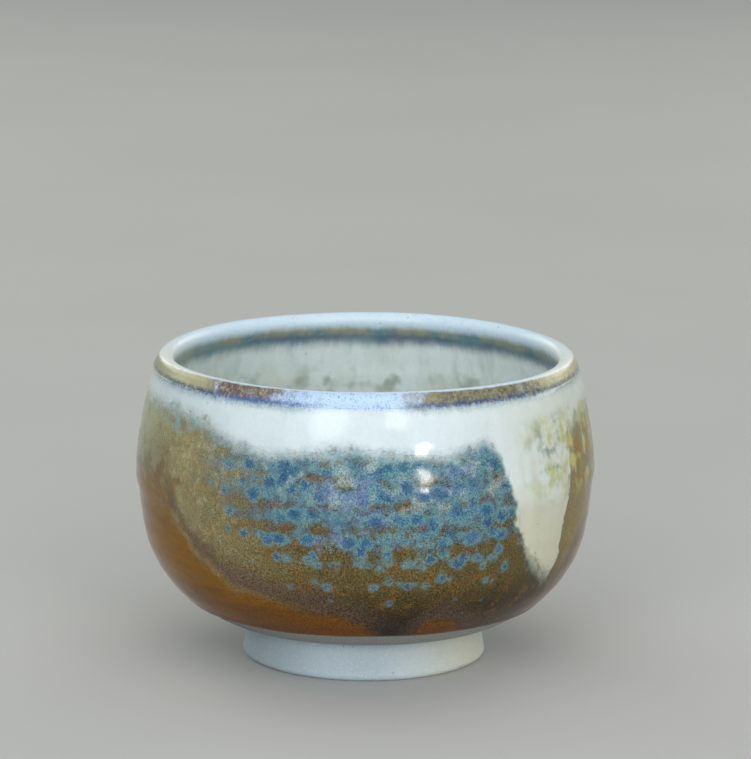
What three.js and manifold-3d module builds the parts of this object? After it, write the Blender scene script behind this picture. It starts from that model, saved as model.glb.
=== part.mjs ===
// A matcha bowl: a thrown clay bowl luted to a foot ring, with the glaze coats fired on it.
// Millimetres, +Z up. The origin is on the bowl's axis, on the surface that it stands on.
// Azimuths are in degrees, from the bowl's front (-Y) towards its right side (+X).

import * as THREE from 'three';
import { mergeVertices } from 'three/addons/utils/BufferGeometryUtils.js';
import Module from 'manifold-3d';

const wasm = await Module();
wasm.setup();

// ---- Form of the bowl, over its base coat of glaze ----
const bellyDiameter = 120;
const rimDiameter = 110;
const bowlHeight = 81;
const bellyHeight = 49; // height of the widest line
const bellyArc = 63.5; // radius of the section just below the widest line
const turnHeight = 35.7; // height where the wall starts to turn in towards the base
const shelfOverhang = 7.6; // how far the trimmed shelf stands out past the foot's joint
const shelfRise = 1; // how far the shelf climbs from that joint to its edge

// ---- Clay ----
const clayWall = 3.5;
const floorThickness = 4.4; // clay between the foot ring's joint and the well of the bowl
const poolRadius = 16; // shallow pool where the last of the tea gathers
const poolDepth = 0.7;

// ---- Foot ring ----
const footHeight = 10.2;
const footDiameter = 64; // widest line, near the bottom
const footFlare = 1; // how much further out the ring stands at that line than at its joint
const footWall = 6;
const footLean = 0.8; // how much thicker the ring is at its joint than at its flat
const footOuterRound = 1.5;
const footInnerRound = 0.9;
const bossDrop = 3; // the bowl's underside reaches this far down inside the ring
const bossClearance = 0.3;
const nippleRadius = 7; // low cone that the turning tool leaves in the middle
const nippleDrop = 0.9;

// ---- Glaze coats ----
const baseCoat = 0.4; // amber coat on the outside
const innerCoat = 0.4;
const pourCoat = 0.3; // white coat poured over the amber one
const rimCoat = 0.5; // rim dipped last
const bondGap = 0.05; // left between a coat and what it is fired on
const glazeLine = 15.6; // height where the amber coat stops
const rimBandOutside = 3.6; // depth of the dipped rim, from the top of the lip
const rimBandInside = 7;

// Lower edge of the white pour, going round once: [azimuth, per cent of the amber coat's height].
// The front holds a wide sheet with a long run at its right, and the back a second, softer run.
const pourEdge = [
  [-180, 82], [-160, 69], [-148, 62], [-135, 72], [-112, 86], [-90, 90], [-60, 91],
  [-44, 89], [-36, 83], [-24, 80], [-4, 84], [12, 81], [22, 80], [31, 85], [36, 78],
  [39, 62], [42, 43], [46, 33], [51, 27], [57, 20], [59, 28], [60, 56], [63, 82], [75, 88],
  [100, 86], [130, 90], [155, 88], [180, 82],
];

// ---- Fineness of the solids ----
const columns = 48;
const arcStep = 6.5; // longest straight step along a section
const lipSteps = 5;
const poolSteps = 2;
const footRoundSteps = 2; // twice this many on each rounded edge
const pourColumns = 120;

// A section arc: it leaves a tangent point at right angles to a normal and passes through target.
function arcFrom(tangentPoint, normal, target) {
  const reach = target.clone().sub(tangentPoint);
  const radius = -reach.lengthSq() / (2 * reach.dot(normal));
  return { centre: tangentPoint.clone().addScaledVector(normal, -radius), radius };
}

// Angle at which an arc, taken at a depth under its surface, reaches a height.
function angleAtHeight(arc, height, depth = 0) {
  return Math.asin((height - arc.centre.y) / (arc.radius - depth));
}

// A station is a point on a section curve with the direction that faces out there.
function arcStations(arc, fromAngle, toAngle) {
  const steps = Math.max(1, Math.ceil((Math.abs(toAngle - fromAngle) * arc.radius) / arcStep));
  const stations = [];
  for (let i = 0; i <= steps; i += 1) {
    const angle = THREE.MathUtils.lerp(fromAngle, toAngle, i / steps);
    const normal = new THREE.Vector2(Math.cos(angle), Math.sin(angle));
    stations.push({ point: arc.centre.clone().addScaledVector(normal, arc.radius), normal });
  }
  return stations;
}

// Joins runs of stations that meet end to end, leaving out the repeated ends.
function joinStations(...runs) {
  return runs.flatMap((run, i) => (i === 0 ? run : run.slice(1)));
}

// The curve that lies a depth under the stations' curve.
function atDepth(stations, depth) {
  return stations.map(({ point, normal }) => point.clone().addScaledVector(normal, -depth));
}

// Turns a section outline, given anticlockwise, once round the axis.
function revolve(outline) {
  const onAxis = outline[0].x === 0;
  const profile = onAxis ? outline : [...outline, outline[0]];
  return new THREE.LatheGeometry(profile, columns).rotateX(Math.PI / 2);
}

// A coat between two curves that run the same way, the first one on its outer side.
function coatOutline(outerSide, innerSide) {
  return [...outerSide, ...innerSide.slice().reverse()];
}

function toSolid(geometry) {
  const bare = geometry.clone();
  bare.deleteAttribute('normal');
  bare.deleteAttribute('uv');
  const merged = mergeVertices(bare);
  return new wasm.Manifold(new wasm.Mesh({
    numProp: 3,
    vertProperties: new Float32Array(merged.attributes.position.array),
    triVerts: new Uint32Array(merged.index.array),
  }));
}

function toGeometry(solid) {
  const { vertProperties, triVerts } = solid.getMesh();
  const geometry = new THREE.BufferGeometry();
  geometry.setAttribute('position', new THREE.BufferAttribute(vertProperties, 3));
  geometry.setIndex(new THREE.BufferAttribute(triVerts, 1));
  geometry.computeVertexNormals();
  return geometry;
}

// ---- Section curves ----
const jointRadius = footDiameter / 2 - footFlare;
const ringInside = jointRadius - footWall - footLean; // at the joint
const outward = new THREE.Vector2(1, 0);
const bellyPoint = new THREE.Vector2(bellyDiameter / 2, bellyHeight);
const belly = {
  centre: bellyPoint.clone().addScaledVector(outward, -bellyArc),
  radius: bellyArc,
};
const turnAngle = angleAtHeight(belly, turnHeight);
const [turn] = arcStations(belly, turnAngle, 0);
const shelfEdge = new THREE.Vector2(jointRadius + shelfOverhang, footHeight + shelfRise);
const base = arcFrom(turn.point, turn.normal, shelfEdge);
const lipRadius = clayWall / 2;
const lipHeight = bowlHeight - rimCoat - lipRadius;
const shoulder = arcFrom(bellyPoint, outward, new THREE.Vector2(rimDiameter / 2, lipHeight));
const lipAngle = angleAtHeight(shoulder, lipHeight, baseCoat + lipRadius);

// Outside, in three runs: bare clay, the amber coat's height, and the dipped rim's.
function outsideRuns() {
  const shelfAngle = angleAtHeight(base, shelfEdge.y);
  const glazeAngle = angleAtHeight(base, glazeLine);
  const rimAngle = angleAtHeight(shoulder, bowlHeight - rimBandOutside);
  return {
    bare: arcStations(base, shelfAngle, glazeAngle),
    coated: joinStations(
      arcStations(base, glazeAngle, turnAngle),
      arcStations(belly, turnAngle, 0),
      arcStations(shoulder, 0, rimAngle),
    ),
    rim: arcStations(shoulder, rimAngle + bondGap / shoulder.radius, lipAngle),
  };
}

// Inside, in two runs on the clay's inner face: the well with its floor, and the dipped rim.
function insideRuns() {
  const depth = baseCoat + clayWall;
  const innerTurn = turn.point.clone().addScaledVector(turn.normal, -depth);
  const floorHeight = footHeight + floorThickness;
  const wellRadius = (innerTurn.y - floorHeight) / (1 + turn.normal.y);
  const well = {
    centre: innerTurn.clone().addScaledVector(turn.normal, -wellRadius),
    radius: wellRadius,
  };
  const innerBelly = { centre: belly.centre, radius: belly.radius - depth };
  const innerShoulder = { centre: shoulder.centre, radius: shoulder.radius - depth };
  const rimAngle = angleAtHeight(innerShoulder, bowlHeight - rimBandInside);
  const down = new THREE.Vector2(0, -1);
  const pool = [];
  for (let i = 0; i <= poolSteps; i += 1) {
    const out = i / poolSteps;
    const height = floorHeight - poolDepth * (1 - out * out);
    pool.push({ point: new THREE.Vector2(out * poolRadius, height), normal: down });
  }
  return {
    well: [
      ...pool,
      ...joinStations(
        arcStations(well, -Math.PI / 2, turnAngle),
        arcStations(innerBelly, turnAngle, 0),
        arcStations(innerShoulder, 0, rimAngle),
      ),
    ],
    rim: arcStations(innerShoulder, rimAngle + bondGap / innerShoulder.radius, lipAngle),
  };
}

// The round top of the lip, from its outer side over to its inner side, without the ends.
function lipCap(radius) {
  const reach = shoulder.radius - baseCoat - lipRadius;
  const middle = new THREE.Vector2(Math.cos(lipAngle), Math.sin(lipAngle))
    .multiplyScalar(reach)
    .add(shoulder.centre);
  const cap = [];
  for (let i = 1; i < lipSteps; i += 1) {
    const angle = lipAngle + (Math.PI * i) / lipSteps;
    const spoke = new THREE.Vector2(Math.cos(angle), Math.sin(angle));
    cap.push(middle.clone().addScaledVector(spoke, radius));
  }
  return cap;
}

const outside = outsideRuns();
const inside = insideRuns();

// ---- Sub-parts ----

// Thrown bowl: lip, wall, well, and the boss that the foot ring is luted round.
function clayBody() {
  const bossRadius = ringInside - bossClearance;
  const bossBottom = footHeight - bossDrop;
  const outline = [
    new THREE.Vector2(0, bossBottom - nippleDrop),
    new THREE.Vector2(nippleRadius, bossBottom),
    new THREE.Vector2(bossRadius, bossBottom),
    new THREE.Vector2(bossRadius, footHeight),
    new THREE.Vector2(jointRadius, footHeight),
    ...atDepth(joinStations(outside.bare, outside.coated, outside.rim), baseCoat),
    ...lipCap(lipRadius),
    ...atDepth(joinStations(inside.well, inside.rim), 0).reverse(),
  ];
  return revolve(outline);
}

// Foot ring: it flares a little towards the table and stands on a flat.
function footRing() {
  const outer = footDiameter / 2;
  const inner = outer - footWall;
  const outline = new THREE.Path();
  outline.moveTo(inner + footInnerRound, 0);
  outline.lineTo(outer - footOuterRound, 0);
  outline.absarc(outer - footOuterRound, footOuterRound, footOuterRound, -Math.PI / 2, 0, false);
  outline.lineTo(jointRadius, footHeight);
  outline.lineTo(ringInside, footHeight);
  outline.lineTo(inner, footInnerRound);
  outline.absarc(inner + footInnerRound, footInnerRound, footInnerRound, Math.PI, Math.PI * 1.5, false);
  return revolve(outline.getPoints(footRoundSteps).slice(0, -1));
}

// Glaze inside the bowl, from the middle of the pool up to the dipped rim.
function innerGlaze() {
  return revolve(coatOutline(atDepth(inside.well, bondGap), atDepth(inside.well, innerCoat)));
}

// Amber coat on the outside, from the glaze line up to the dipped rim.
function outerGlaze() {
  const clayDepth = baseCoat - bondGap;
  return revolve(coatOutline(atDepth(outside.coated, 0), atDepth(outside.coated, clayDepth)));
}

// Dipped rim: it wraps the lip and ends a little way down both sides.
function rimGlaze() {
  const surface = [
    ...atDepth(outside.rim, baseCoat - rimCoat),
    ...lipCap(lipRadius + rimCoat),
    ...atDepth(inside.rim, rimCoat).reverse(),
  ];
  const clayside = [
    ...atDepth(outside.rim, baseCoat - bondGap),
    ...lipCap(lipRadius + bondGap),
    ...atDepth(inside.rim, bondGap).reverse(),
  ];
  return revolve(coatOutline(surface, clayside));
}

// Height of the pour's lower edge at an azimuth, on straight lines between the points given.
function pourEdgeHeight(azimuth) {
  const next = pourEdge.findIndex(([edgeAzimuth]) => edgeAzimuth >= azimuth);
  const [fromAzimuth, fromShare] = pourEdge[Math.max(next - 1, 0)];
  const [toAzimuth, toShare] = pourEdge[next];
  const along = toAzimuth > fromAzimuth ? (azimuth - fromAzimuth) / (toAzimuth - fromAzimuth) : 0;
  const share = THREE.MathUtils.lerp(fromShare, toShare, along) / 100;
  return THREE.MathUtils.lerp(glazeLine, bowlHeight - rimBandOutside, share);
}

// Everything above the pour's edge, as a thick ring with a wavy underside.
function spaceOverPourEdge() {
  const innerRadius = bellyDiameter / 4;
  const outerRadius = bellyDiameter;
  const positions = [];
  const faces = [];
  for (let i = 0; i < pourColumns; i += 1) {
    const azimuth = -180 + (360 * i) / pourColumns;
    const turned = THREE.MathUtils.degToRad(azimuth);
    const [across, along] = [Math.sin(turned), -Math.cos(turned)];
    const low = pourEdgeHeight(azimuth);
    const corners = [
      [innerRadius, low],
      [outerRadius, low],
      [outerRadius, bowlHeight],
      [innerRadius, bowlHeight],
    ];
    corners.forEach(([radius, z]) => positions.push(radius * across, radius * along, z));
    const count = corners.length;
    corners.forEach((_, corner) => {
      const here = [i * count + corner, i * count + ((corner + 1) % count)];
      const there = here.map((index) => (index + count) % (pourColumns * count));
      faces.push(here[0], there[0], here[1], here[1], there[0], there[1]);
    });
  }
  const geometry = new THREE.BufferGeometry();
  geometry.setAttribute('position', new THREE.Float32BufferAttribute(positions, 3));
  geometry.setIndex(faces);
  return geometry;
}

// White glaze poured from a ladle over the amber coat, ending in its runs.
function whiteGlaze() {
  const sheet = revolve(
    coatOutline(atDepth(outside.coated, -pourCoat), atDepth(outside.coated, -bondGap)),
  );
  return toGeometry(toSolid(sheet).intersect(toSolid(spaceOverPourEdge())));
}

// ---- The bowl ----
const finishes = {
  bare_clay: { color: 0xb4b8b2, roughness: 0.85, metalness: 0 },
  amber_glaze: { color: 0x7a5527, roughness: 0.2, metalness: 0 },
  white_glaze: { color: 0xd5dcda, roughness: 0.15, metalness: 0 },
  rim_glaze: { color: 0x8d8466, roughness: 0.2, metalness: 0 },
  inner_glaze: { color: 0xb5bbb0, roughness: 0.2, metalness: 0 },
};

const subParts = [
  ['clay_body', clayBody, 'bare_clay'],
  ['foot_ring', footRing, 'bare_clay'],
  ['inner_glaze', innerGlaze, 'inner_glaze'],
  ['outer_glaze', outerGlaze, 'amber_glaze'],
  ['white_glaze', whiteGlaze, 'white_glaze'],
  ['rim_glaze', rimGlaze, 'rim_glaze'],
];

const bowl = new THREE.Group();
subParts.forEach(([name, makeGeometry, finish]) => {
  const mesh = new THREE.Mesh(makeGeometry(), new THREE.MeshStandardMaterial(finishes[finish]));
  mesh.name = name;
  bowl.add(mesh);
});

export default bowl;
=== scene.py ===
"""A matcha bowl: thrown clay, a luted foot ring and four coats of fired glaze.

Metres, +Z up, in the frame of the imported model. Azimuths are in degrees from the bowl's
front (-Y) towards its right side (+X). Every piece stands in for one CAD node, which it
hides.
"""

import math

import bpy
import numpy as np
from bpy.props import FloatProperty, FloatVectorProperty, PointerProperty
from mathutils import Matrix, Vector


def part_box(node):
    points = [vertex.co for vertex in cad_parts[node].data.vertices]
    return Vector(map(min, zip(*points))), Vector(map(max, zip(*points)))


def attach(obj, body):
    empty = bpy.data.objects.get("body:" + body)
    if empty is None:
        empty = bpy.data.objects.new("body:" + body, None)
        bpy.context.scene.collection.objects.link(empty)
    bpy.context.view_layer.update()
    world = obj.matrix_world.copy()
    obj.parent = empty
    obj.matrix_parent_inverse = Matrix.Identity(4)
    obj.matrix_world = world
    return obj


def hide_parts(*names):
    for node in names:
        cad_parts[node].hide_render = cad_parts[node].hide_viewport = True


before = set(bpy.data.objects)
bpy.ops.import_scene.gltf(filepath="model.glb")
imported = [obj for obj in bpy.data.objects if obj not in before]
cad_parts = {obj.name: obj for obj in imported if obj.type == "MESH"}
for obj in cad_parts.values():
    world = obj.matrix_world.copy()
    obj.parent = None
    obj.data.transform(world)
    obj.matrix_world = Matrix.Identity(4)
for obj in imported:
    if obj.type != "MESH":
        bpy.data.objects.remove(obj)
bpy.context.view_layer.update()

bl_info = {
    "name": "Matcha Bowl",
    "version": (1, 0, 0),
    "blender": (4, 5, 0),
    "location": "3D View > Sidebar > Bowl",
    "description": "Builds a thrown and glazed matcha bowl round its CAD frame",
    "category": "Add Mesh",
}

MM = 0.001
COLUMNS = 480  # round the bowl
FINE = 0.8 * MM  # step of a section where it shows
COARSE = 4 * MM  # step of a section under a coat
TINY = 0.02 * MM  # between two surfaces that lie on each other
ROW_PITCH = 6  # millimetres between the rows of mottles
LIP_LINE = 52.45  # millimetres from the axis, where the inside's colours take over
GLAZE_INDEX = 1.36  # index of refraction of the rim's and the inside's glaze
AMBER_INDEX, WHITE_INDEX = 1.28, 1.34
AMBER_GLOSS, WHITE_GLOSS, RIM_GLOSS, INSIDE_GLOSS = 0.14, 0.11, 0.26, 0.16  # roughness

# Lower edge of the white pour, going round once: azimuth and per cent of the amber coat.
POUR_EDGE = (
    (-180, 82), (-160, 69), (-148, 62), (-135, 72), (-112, 86), (-90, 90), (-60, 91),
    (-44, 89), (-36, 83), (-24, 80), (-4, 84), (12, 81), (22, 80), (31, 85), (36, 78),
    (39, 62), (42, 43), (46, 33), (51, 27), (57, 20), (59, 28), (60, 56), (63, 82),
    (75, 88), (100, 86), (130, 90), (155, 88), (180, 82),
)

# Height in millimetres up to which the amber shows bare, going round once.
AMBER_TOP = (
    (-180, 26), (-150, 24), (-120, 36), (-95, 46), (-80, 47), (-68, 50), (-60, 46.5),
    (-53, 40), (-47, 34), (-38, 29.8), (-26, 26), (-12, 22.8), (0, 19), (5, 15), (13, 14),
    (17, 18.5), (22, 21), (26, 19.5), (31, 15), (40, 13), (57, 14), (64, 22), (72, 31),
    (90, 38), (110, 33), (130, 22), (150, 17), (180, 26),
)

# How thickly the blue mottling lies, 0 to 1, going round once.
BLUE_ROUND = (
    (-180, 0.9), (-160, 0.75), (-140, 0.35), (-115, 0), (-60, 0), (-47, 0.05),
    (-38, 0.5), (-25, 0.8), (-8, 1), (22, 1), (36, 0.85), (44, 0.3), (58, 0.15),
    (64, 0.1), (80, 0), (110, 0.1), (130, 0.6), (155, 0.95), (180, 0.9),
)


def top_of(node):
    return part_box(node)[1].z


def bottom_of(node):
    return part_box(node)[0].z


def radius_of(node):
    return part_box(node)[1].x


def length(name, description, size):
    """A length that a user can change, given in millimetres."""
    return FloatProperty(
        name=name, description=description, default=size * MM, unit="LENGTH")


def colour(name, description, value):
    """A colour that a user can change, as linear red, green and blue."""
    return FloatVectorProperty(
        name=name, description=description, default=value, subtype="COLOR", size=3,
        min=0, max=1)


def toned(value, strength):
    """A colour made darker or lighter."""
    return tuple(strength * part for part in value)


class BowlSizes(bpy.types.PropertyGroup):
    """Sizes of the thrown form and its coats."""

    belly_arc: length("Belly arc", "Radius of the section just under the widest line", 63.5)
    belly_height: length("Belly height", "Height of the widest line", 49)
    turn_height: length(
        "Turn height", "Height where the wall turns in towards the base", 35.7)
    rim_radius: length("Rim radius", "Radius of the wall at the lip", 55)
    shelf_overhang: length(
        "Shelf overhang", "How far the trimmed shelf passes the foot", 7.6)
    shelf_rise: length(
        "Shelf rise", "How far the shelf climbs from the foot to its edge", 1)
    clay_wall: length("Clay wall", "Thickness of the clay under the glaze", 3.5)
    floor_thickness: length(
        "Floor thickness", "Clay between the foot joint and the well", 4.4)
    pool_radius: length("Pool radius", "Radius of the tea pool in the floor", 16)
    pool_depth: length("Pool depth", "Depth of the tea pool", 0.7)
    coat: length("Coat", "Thickness of the amber and the inner glaze", 0.4)
    pour_coat: length("Pour coat", "Thickness of the white glaze over the amber", 0.3)
    rim_coat: length("Rim coat", "Thickness of the dipped rim", 0.5)
    pour_taper: length("Pour taper", "Width over which the pour thins out at its edge", 6)
    foot_wall: length("Foot wall", "Width of the foot ring at its flat", 6)
    foot_flare: length("Foot flare", "How far the foot widens below its joint", 1)
    foot_lean: length("Foot lean", "Extra width of the ring at its joint", 0.8)
    foot_round: length("Foot round", "Rounding of the foot's outer bottom edge", 1.5)
    foot_inner_round: length(
        "Foot inner round", "Rounding of the foot's inner bottom edge", 0.9)
    boss_drop: length("Boss drop", "How far the underside reaches into the foot ring", 3)
    boss_clearance: length("Boss clearance", "Gap between the boss and the foot ring", 0.3)
    nipple_radius: length("Nipple radius", "Radius of the low cone left by turning", 7)
    nipple_drop: length("Nipple drop", "Height of that cone", 0.9)
    throwing: length("Throwing rings", "Depth of the rings that the fingers leave", 0.04)
    waver: length("Waver", "How far the hand-thrown wall strays from round", 0.22)


class BowlColours(bpy.types.PropertyGroup):
    """Colours of the clay and the glazes."""

    clay: colour("Clay", "Bare fired clay", (0.47, 0.57, 0.63))
    # Painted shade on the downward-facing shelf, over the warm flashing of the clay next to
    # the glaze.
    clay_shade_and_flashing: colour("Warm clay", "Clay flashed next to the glaze", (0.2, 0.185, 0.145))
    # Painted light: the clay's right side made yellower and brighter.
    clay_painted_light: colour("Sunny clay", "Clay flashed yellow on the right", (0.62, 0.60, 0.44))
    sand: colour("Sand", "Pale grains in the clay", (0.78, 0.78, 0.74))
    clay_speck: colour("Clay speck", "Iron and sand in the clay", (0.20, 0.18, 0.15))
    amber: colour("Amber", "Iron glaze where it is clear", (0.21, 0.094, 0.002))
    # Painted shade: the amber made darker low on the bowl.
    amber_painted_shade: colour("Low amber", "Iron glaze near its lower edge", (0.145, 0.046, 0.001))
    mauve: colour("Mauve", "Band where the amber clouds over", (0.11, 0.07, 0.048))
    olive: colour("Olive", "Pale matt breaking of the amber", (0.29, 0.245, 0.12))
    olive_pale: colour("Pale olive", "Crystals in the olive", (0.37, 0.385, 0.225))
    brown: colour("Brown", "Olive-brown ground of the mottling", (0.098, 0.076, 0.027))
    # Warm olive on the right side, partly glaze and partly a painted reflection of green
    # surroundings.
    honey_and_reflection: colour("Honey", "Warm olive on the right side", (0.20, 0.155, 0.040))
    # Yellow-green patches, partly thin white and partly a painted reflection of green
    # surroundings.
    moss_and_reflection: colour("Moss", "Yellow-green where the white thins", (0.46, 0.47, 0.17))
    fern: colour("Fern", "Teal where the white thins", (0.14, 0.22, 0.15))
    # Painted shade low down at the front and the right.
    painted_low_shade: colour("Umber", "Dark ground at the lower right", (0.034, 0.022, 0.008))
    orange: colour("Orange", "Iron that breaks through the mottling", (0.19, 0.085, 0.01))
    blue: colour("Blue", "Heart of a mottle", (0.022, 0.075, 0.165))
    sky: colour("Sky blue", "Body of a mottle", (0.055, 0.15, 0.25))
    turquoise: colour("Turquoise", "Edge of a mottle", (0.13, 0.27, 0.28))
    haze: colour("Haze", "Pale clouding in the mottling", (0.36, 0.44, 0.4))
    violet: colour("Violet", "Violet bloom in the mottling", (0.19, 0.22, 0.4))
    white: colour("White", "Poured milk-white glaze", (0.615, 0.705, 0.735))
    white_warm: colour("Warm white", "Thinner white low on the run", (0.55, 0.55, 0.42))
    lip: colour("Lip", "White lip", (0.62, 0.75, 0.84))
    # Painted highlights on the lip at both sides.
    lip_painted_highlight: colour("Lip side", "White lip at both sides", (0.86, 0.88, 0.80))
    tan: colour("Tan", "Dipped rim", (0.4, 0.385, 0.23))
    plum: colour("Plum", "Violet-brown part of the rim", (0.12, 0.075, 0.1))
    rim_blue: colour("Rim blue", "Lower edge of the dipped rim", (0.07, 0.13, 0.36))
    rim_navy: colour("Rim navy", "Darker lower edge of the rim", (0.03, 0.07, 0.17))
    rim_pale: colour("Pale rim", "Bluish white of the rim's front", (0.48, 0.65, 0.88))
    inside: colour("Inside", "Grey-white glaze inside", (0.72, 0.8, 0.79))
    # Painted light on the inside's left wall.
    inside_painted_light: colour("Warm inside", "Left wall inside", (0.86, 0.87, 0.66))
    smudge: colour("Smudge", "Olive smudges inside", (0.27, 0.33, 0.26))
    indigo: colour("Indigo", "Blue edge of the dip inside", (0.06, 0.115, 0.22))
    teal: colour("Teal", "Edge of the rim's dip inside", (0.13, 0.25, 0.3))
    straw: colour("Straw", "Left end of the dip inside", (0.47, 0.49, 0.32))
    floor: colour("Floor", "Plain pale floor", (0.52, 0.515, 0.5))


class StageSettings(bpy.types.PropertyGroup):
    """Camera, floor and lights."""

    distance: FloatProperty(
        name="Distance", description="From the camera to the bowl", default=1.25,
        unit="LENGTH")
    elevation: FloatProperty(
        name="Elevation", description="Camera's angle above the table",
        default=math.radians(13.3), subtype="ANGLE")
    lens: FloatProperty(
        name="Lens", description="Focal length in millimetres", default=224.7)
    rise: length("Rise", "How far above the bowl's middle the camera aims", 32.2)
    aside: length("Aside", "How far right of the bowl's axis the camera aims", 2.5)
    roll: FloatProperty(
        name="Roll", description="How far the camera leans to its left",
        default=math.radians(0.5), subtype="ANGLE")
    floor_size: FloatProperty(
        name="Floor size", description="Side of the floor", default=9.0, unit="LENGTH")


# ---------------------------------------------------------------- section of the bowl


def tangent_arc(start, normal, target):
    """Centre and radius of the arc that leaves start square to normal and meets target."""
    reach = target - start
    radius = -reach.dot(reach) / (2 * reach.dot(normal))
    return start - normal * radius, radius


def height_angle(centre, radius, height):
    """Angle at which an arc reaches a height."""
    return math.asin((height - centre[1]) / radius)


def arc_run(centre, radius, start, end, step):
    """Points along an arc, one a row: radius, height, and the way that faces out there."""
    count = max(2, math.ceil(abs(end - start) * radius / step) + 1)
    angles = np.linspace(start, end, count)
    out = np.stack([np.cos(angles), np.sin(angles)], axis=1)
    return np.hstack([np.asarray(centre) + out * radius, out])


def join(*runs):
    """Runs that meet end to end, as one run without the repeated ends."""
    return np.vstack([runs[0], *(run[1:] for run in runs[1:])])


def at_depth(run, depth):
    """The curve that lies a depth under a run."""
    return run[:, :2] - run[:, 2:] * np.reshape(depth, (-1, 1))


class Section:
    """Half section of the bowl, as runs of points on its finished surfaces."""

    def __init__(self, sizes, step=FINE):
        self.sizes = sizes
        out = np.array([1.0, 0.0])
        belly = np.array([radius_of("outer_glaze"), sizes.belly_height])
        centre = belly - out * sizes.belly_arc
        turn = height_angle(centre, sizes.belly_arc, sizes.turn_height)
        facing = np.array([math.cos(turn), math.sin(turn)])
        foot_top = top_of("foot_ring")
        self.joint_radius = radius_of("foot_ring") - sizes.foot_flare
        shelf = np.array([self.joint_radius + sizes.shelf_overhang,
                          foot_top + sizes.shelf_rise])
        base, base_radius = tangent_arc(
            centre + facing * sizes.belly_arc, facing, shelf)
        self.lip_radius = sizes.clay_wall / 2
        lip_height = top_of("rim_glaze") - sizes.rim_coat - self.lip_radius
        shoulder, shoulder_radius = tangent_arc(
            belly, out, np.array([sizes.rim_radius, lip_height]))
        middle = shoulder_radius - sizes.coat - self.lip_radius
        self.lip_angle = height_angle(shoulder, middle, lip_height)
        spoke = np.array([math.cos(self.lip_angle), math.sin(self.lip_angle)])
        self.lip_centre = shoulder + spoke * middle
        glaze = height_angle(base, base_radius, bottom_of("outer_glaze"))
        rim = height_angle(shoulder, shoulder_radius, top_of("outer_glaze"))
        self.bare = arc_run(
            base, base_radius, height_angle(base, base_radius, shelf[1]), glaze, step)
        self.coated = join(
            arc_run(base, base_radius, glaze, turn, step),
            arc_run(centre, sizes.belly_arc, turn, 0, step),
            arc_run(shoulder, shoulder_radius, 0, rim, step))
        self.rim_out = arc_run(shoulder, shoulder_radius, rim, self.lip_angle, step / 2)
        depth = sizes.coat + sizes.clay_wall
        inner_turn = centre + facing * (sizes.belly_arc - depth)
        floor = foot_top + sizes.floor_thickness
        well_radius = (inner_turn[1] - floor) / (1 + facing[1])
        well = inner_turn - facing * well_radius
        inner_shoulder = shoulder_radius - depth
        rim_in = height_angle(shoulder, inner_shoulder, top_of("inner_glaze"))
        self.floor_height = floor
        across = np.arange(0, well[0], step)
        down = np.zeros((len(across), 2))
        down[:, 1] = -1
        bed = np.stack([across, floor - self.pool(across)], axis=1)
        self.well = np.vstack([
            np.hstack([bed, down]),
            join(arc_run(well, well_radius, -math.pi / 2, turn, step),
                 arc_run(centre, sizes.belly_arc - depth, turn, 0, step),
                 arc_run(shoulder, inner_shoulder, 0, rim_in, step))])
        self.rim_in = arc_run(shoulder, inner_shoulder, rim_in, self.lip_angle, step / 2)

    def pool(self, radius):
        """Depth of the tea pool at a radius."""
        share = np.clip(radius / self.sizes.pool_radius, 0, 1)
        return self.sizes.pool_depth * (1 - share ** 2) ** 2

    def cap(self, radius, count=14):
        """The round top of the lip from its outer to its inner side, without the ends."""
        turn = np.linspace(self.lip_angle, self.lip_angle + math.pi, count + 2)[1:-1]
        return self.lip_centre + radius * np.stack([np.cos(turn), np.sin(turn)], axis=1)


def round_value(stops, azimuth):
    """Value of a list of azimuths and values at any azimuth."""
    return np.interp(azimuth, [at for at, _ in stops], [value for _, value in stops])


def smooth(low, high, value):
    share = np.clip((value - low) / (high - low), 0, 1)
    return share * share * (3 - 2 * share)


def azimuths(columns=COLUMNS):
    return -180 + np.arange(columns) * 360 / columns


def thrown(radii, heights, azimuth, sizes):
    """Gives turned rows the slow waver and the finger rings of a bowl thrown by hand."""
    turn = np.radians(azimuth)
    share = smooth(5 * MM, 45 * MM, radii)
    lift = heights / top_of("rim_glaze")
    slow = (0.55 * np.sin(2 * turn + 0.8 + 1.5 * lift) + 0.3 * np.sin(3 * turn + 2.1)
            + 0.15 * np.sin(5 * turn - 0.7 - 3 * lift))
    pitch = 5.6 * MM
    rings = np.sin(2 * math.pi * heights / pitch + turn + 0.6 * np.sin(2 * turn))
    fade = smooth(16 * MM, 26 * MM, heights) * (1 - smooth(68 * MM, 76 * MM, heights))
    # The belly carries a soft edge where the upper wall was pulled straighter.
    left = 0.5 - 0.5 * np.sin(turn)
    edge = smooth((44.5 - left) * MM, (49 + 3 * (1 - left)) * MM, heights)
    edge = (edge - 0.5) * smooth(28 * MM, 40 * MM, heights)
    edge = edge * (1 - smooth(52 * MM, 66 * MM, heights))
    radial = sizes.waver * slow * lift + sizes.throwing * rings * fade + 0.7 * MM * edge
    rise = 0.16 * MM * np.sin(2 * turn + 1.9) + 0.08 * MM * np.sin(5 * turn)
    return radii + share * radial, heights + rise * smooth(0.8, 1, lift)


# ---------------------------------------------------------------- meshes


def new_piece(name, vertices, faces, material, node):
    """Adds a closed mesh that stands for a CAD node."""
    mesh = bpy.data.meshes.new(name)
    mesh.from_pydata(vertices, [], faces)
    mesh.materials.append(material)
    mesh.shade_smooth()
    mesh.update()
    piece = bpy.data.objects.new(name, mesh)
    bpy.context.scene.collection.objects.link(piece)
    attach(piece, "root")
    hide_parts(node)
    return piece


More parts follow.
